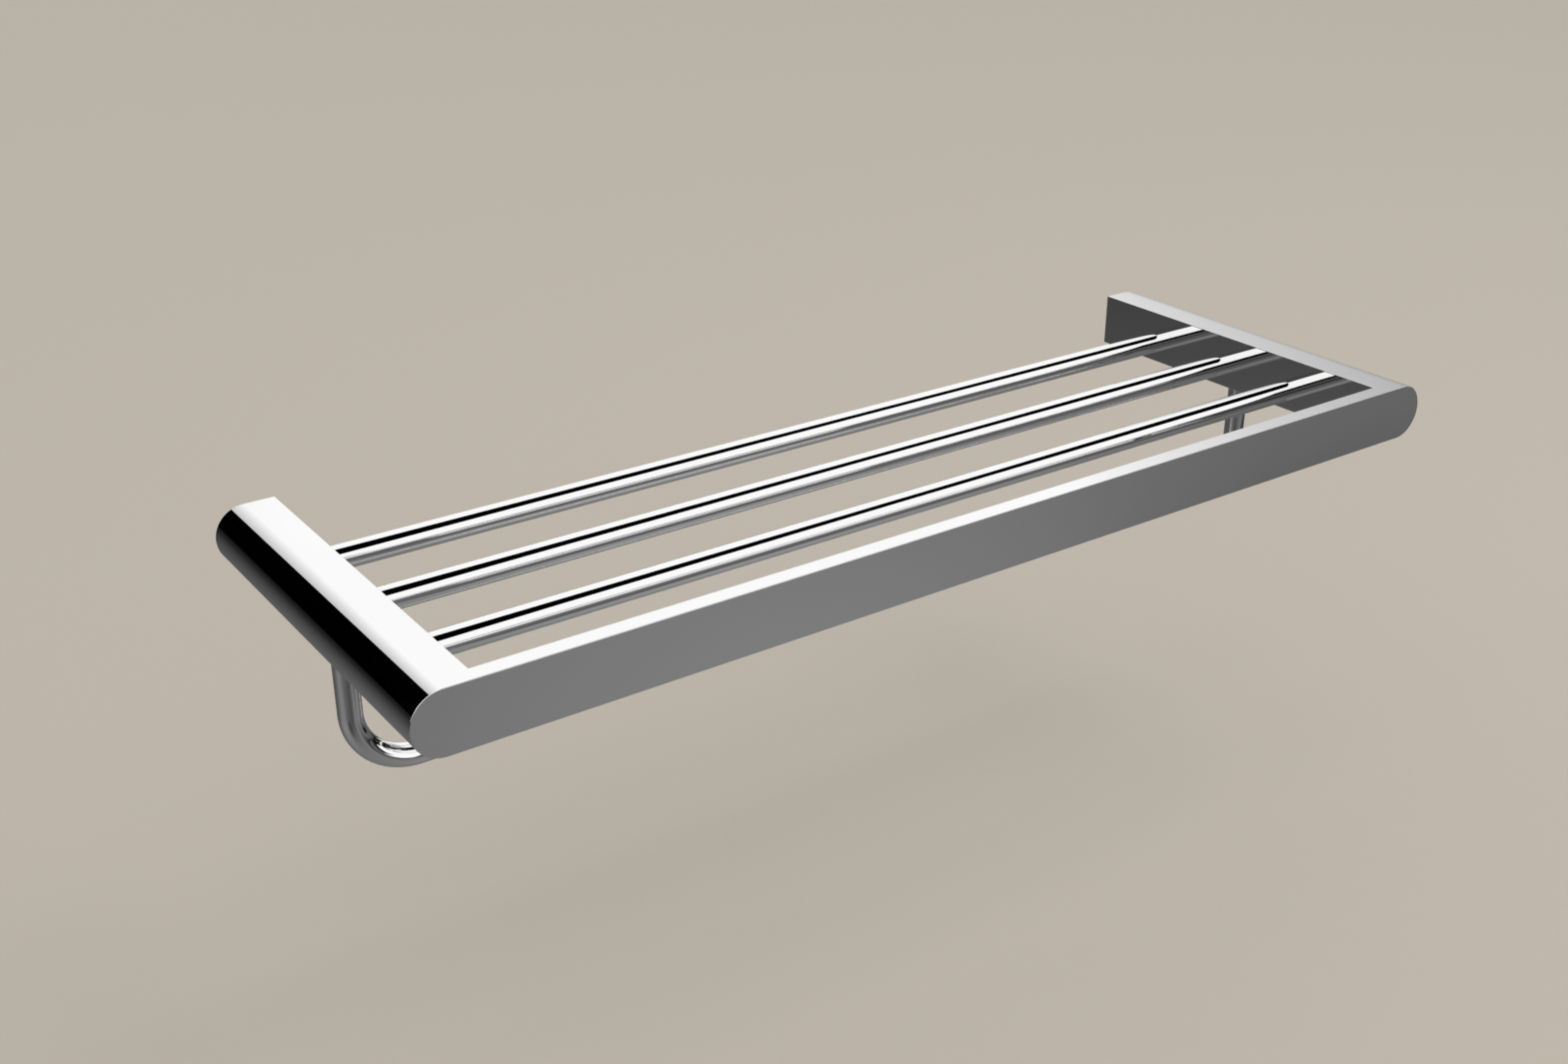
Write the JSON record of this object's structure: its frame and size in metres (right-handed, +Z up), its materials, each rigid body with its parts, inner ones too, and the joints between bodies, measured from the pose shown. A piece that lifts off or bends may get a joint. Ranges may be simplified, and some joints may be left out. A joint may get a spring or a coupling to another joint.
{
  "type": "towel rack",
  "caption": "Wall-mounted chrome towel rack: a shelf of round rods between half-round arms and a flat front bar, with a bent towel rail hung below.",
  "frame": {"origin": "on the wall plane, midway between the arms and at mid height of the arms, which is the centre of the four wall screw holes", "axes": "+X along the wall to the right as seen from the room, +Y into the wall, +Z up"},
  "size_m": [0.6, 0.211, 0.1006],
  "materials": {
    "chrome_plate": "polished",
    "bracket_steel": "satin",
    "screw_steel": "satin",
    "turned_brass": "satin",
    "ring_rubber": "matte"
  },
  "bodies": {
    "root": {"front_bar": "chrome_plate", "towel_rail": "chrome_plate", "shelf_rod_1": "chrome_plate", "shelf_rod_2": "chrome_plate", "shelf_rod_3": "chrome_plate", "left_arm": "chrome_plate", "left_rod_rings": "ring_rubber", "left_rail_spigot": "turned_brass", "left_rail_set_screw": "screw_steel", "left_bar_screw": "screw_steel", "left_bar_dowels": "screw_steel", "left_wall_bracket": "bracket_steel", "left_grub_screw": "screw_steel", "right_arm": "chrome_plate", "right_rod_rings": "ring_rubber", "right_rail_spigot": "turned_brass", "right_rail_set_screw": "screw_steel", "right_bar_screw": "screw_steel", "right_bar_dowels": "screw_steel", "right_wall_bracket": "bracket_steel", "right_grub_screw": "screw_steel"}
  },
  "joints": []
}
